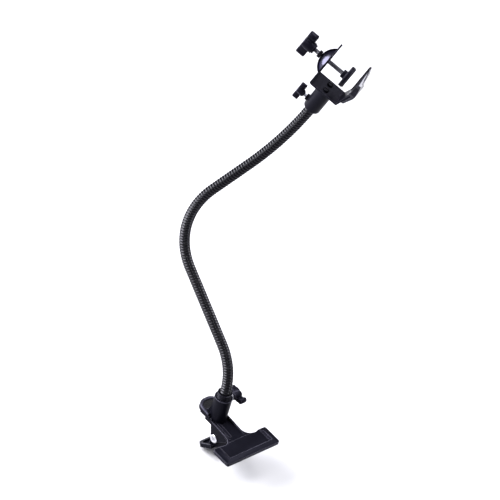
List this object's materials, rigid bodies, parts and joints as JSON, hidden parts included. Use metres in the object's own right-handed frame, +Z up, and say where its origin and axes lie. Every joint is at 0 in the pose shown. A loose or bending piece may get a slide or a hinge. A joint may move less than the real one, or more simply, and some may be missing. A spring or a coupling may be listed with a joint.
{
  "type": "airbrush holder stand",
  "caption": "Spring clamp for a bench edge with a flexible neck that carries a small screw clamp, to hold an airbrush or a light tool in place.",
  "frame": {"origin": "centre of the gripping faces of the closed spring clamp", "axes": "+X across the jaws, +Y back from the jaws along the handles, +Z up along the tube that holds the neck"},
  "size_m": [0.099, 0.1393, 0.5922],
  "materials": {
    "clamp_plastic": "moulded black nylon, satin",
    "rubber_face": "moulded rubber, matt",
    "grip_rubber": "cross-ribbed rubber, matt",
    "bright_nickel": "nickel plated, bright",
    "spring_steel": "drawn steel wire",
    "zinc_steel": "zinc plated thread",
    "knob_plastic": "fine textured black plastic",
    "neck_coat": "black coated wound steel, satin",
    "collar_black": "black oxide steel, ribbed",
    "socket_black": "black powder coat, satin",
    "bracket_black": "black powder coat on steel sheet",
    "screw_black": "black oxide steel",
    "dome_gloss": "black gloss enamel",
    "pad_plastic": "moulded black plastic",
    "felt_rubber": "soft rubber facing"
  },
  "bodies": {
    "clamp": {"upper_jaw": "clamp_plastic", "upper_jaw_pad": "rubber_face", "upper_grip": "grip_rubber", "pivot_pin": "zinc_steel", "pivot_cap_right": "bright_nickel", "pivot_cap_left": "bright_nickel", "torsion_spring": "spring_steel", "base_lock_bush": "zinc_steel"},
    "lower_jaw": {"lower_jaw": "clamp_plastic", "lower_jaw_pad": "rubber_face", "lower_grip": "grip_rubber"},
    "base_lock_screw": {"base_lock_rod": "zinc_steel"},
    "base_lock_turn": {"base_lock_knob": "knob_plastic"},
    "neck_1": {"neck_base_spigot": "collar_black", "neck_segment_1": "neck_coat"},
    "neck_2": {"neck_segment_2": "neck_coat"},
    "neck_3": {"neck_segment_3": "neck_coat"},
    "neck_4": {"neck_segment_4": "neck_coat"},
    "neck_5": {"neck_segment_5": "neck_coat"},
    "neck_6": {"neck_segment_6": "neck_coat", "neck_top_spigot": "collar_black"},
    "head": {"head_socket": "socket_black", "head_lock_bush": "screw_black", "head_bracket": "bracket_black", "bracket_screws": "screw_black", "dome_cup": "dome_gloss", "rod_nut": "screw_black", "fixed_jaw": "pad_plastic", "jaw_facing": "felt_rubber"},
    "head_lock_screw": {"head_lock_rod": "zinc_steel"},
    "head_lock_turn": {"head_lock_knob": "knob_plastic"},
    "pad": {"pressure_pad": "pad_plastic", "pad_facing": "felt_rubber"},
    "clamp_screw": {"clamp_rod": "zinc_steel", "clamp_knob": "knob_plastic"}
  },
  "joints": [
    {"name": "jaw_open", "type": "hinge", "parent": "clamp", "child": "lower_jaw", "pos_m": [0, 0.0362, -0.0143], "axis": [1, 0, 0], "range_deg": [0, 35], "stiffness_Nm_per_rad": 0.5, "springref_deg": -34.38, "deforming": ["torsion_spring"]},
    {"name": "neck_swivel", "type": "hinge", "parent": "clamp", "child": "neck_1", "pos_m": [0, 0.0488, 0.0324], "axis": [0, 0, 1], "range_deg": [-170, 170]},
    {"name": "base_lock_travel", "type": "slide", "parent": "clamp", "child": "base_lock_screw", "axis": [1, 0, 0], "range_m": [0, 0.003]},
    {"name": "base_lock_spin", "type": "hinge", "parent": "base_lock_screw", "child": "base_lock_turn", "pos_m": [0.0142, 0.0488, 0.0258], "axis": [1, 0, 0], "range_deg": [0, 1350]},
    {"name": "neck_bend_1", "type": "hinge", "parent": "neck_1", "child": "neck_2", "pos_m": [-0.01429, 0.06729, 0.11241], "axis": [0.7912, 0.6115, 0], "range_deg": [-25, 25]},
    {"name": "neck_bend_2", "type": "hinge", "parent": "neck_2", "child": "neck_3", "pos_m": [-0.03916, 0.09946, 0.17877], "axis": [0.5214, -0.6746, 0.5225], "range_deg": [-25, 25]},
    {"name": "neck_bend_3", "type": "hinge", "parent": "neck_3", "child": "neck_4", "pos_m": [-0.05554, 0.12065, 0.25066], "axis": [0.7912, 0.6115, 0], "range_deg": [-25, 25]},
    {"name": "neck_bend_4", "type": "hinge", "parent": "neck_4", "child": "neck_5", "pos_m": [-0.04182, 0.10291, 0.32383], "axis": [0.5269, -0.6817, -0.5075], "range_deg": [-25, 25]},
    {"name": "neck_bend_5", "type": "hinge", "parent": "neck_5", "child": "neck_6", "pos_m": [-0.01836, 0.07255, 0.39153], "axis": [0.7912, 0.6115, 0], "range_deg": [-25, 25]},
    {"name": "head_swivel", "type": "hinge", "parent": "neck_6", "child": "head", "pos_m": [-0.0006, 0.04957, 0.46365], "axis": [0.1839, -0.2379, 0.9537], "range_deg": [-170, 170]},
    {"name": "head_lock_travel", "type": "slide", "parent": "head", "child": "head_lock_screw", "axis": [-0.3586, 0.8872, 0.2905], "range_m": [0, 0.0025]},
    {"name": "head_lock_spin", "type": "hinge", "parent": "head_lock_screw", "child": "head_lock_turn", "pos_m": [-0.00454, 0.06086, 0.47457], "axis": [-0.3586, 0.8872, 0.2905], "range_deg": [0, 1285.72]},
    {"name": "pad_travel", "type": "slide", "parent": "head", "child": "pad", "axis": [-0.3586, 0.8872, 0.2905], "range_m": [-0.0045, 0.0145]},
    {"name": "clamp_spin", "type": "hinge", "parent": "pad", "child": "clamp_screw", "pos_m": [0.00419, 0.05125, 0.52847], "axis": [-0.3586, 0.8872, 0.2905], "range_deg": [-2025, 6525]}
  ],
  "couplings": [
    {"joint": "base_lock_spin", "follows": "base_lock_travel", "rad_per_m": 7854},
    {"joint": "head_lock_spin", "follows": "head_lock_travel", "rad_per_m": 8976},
    {"joint": "clamp_spin", "follows": "pad_travel", "rad_per_m": 7854}
  ]
}
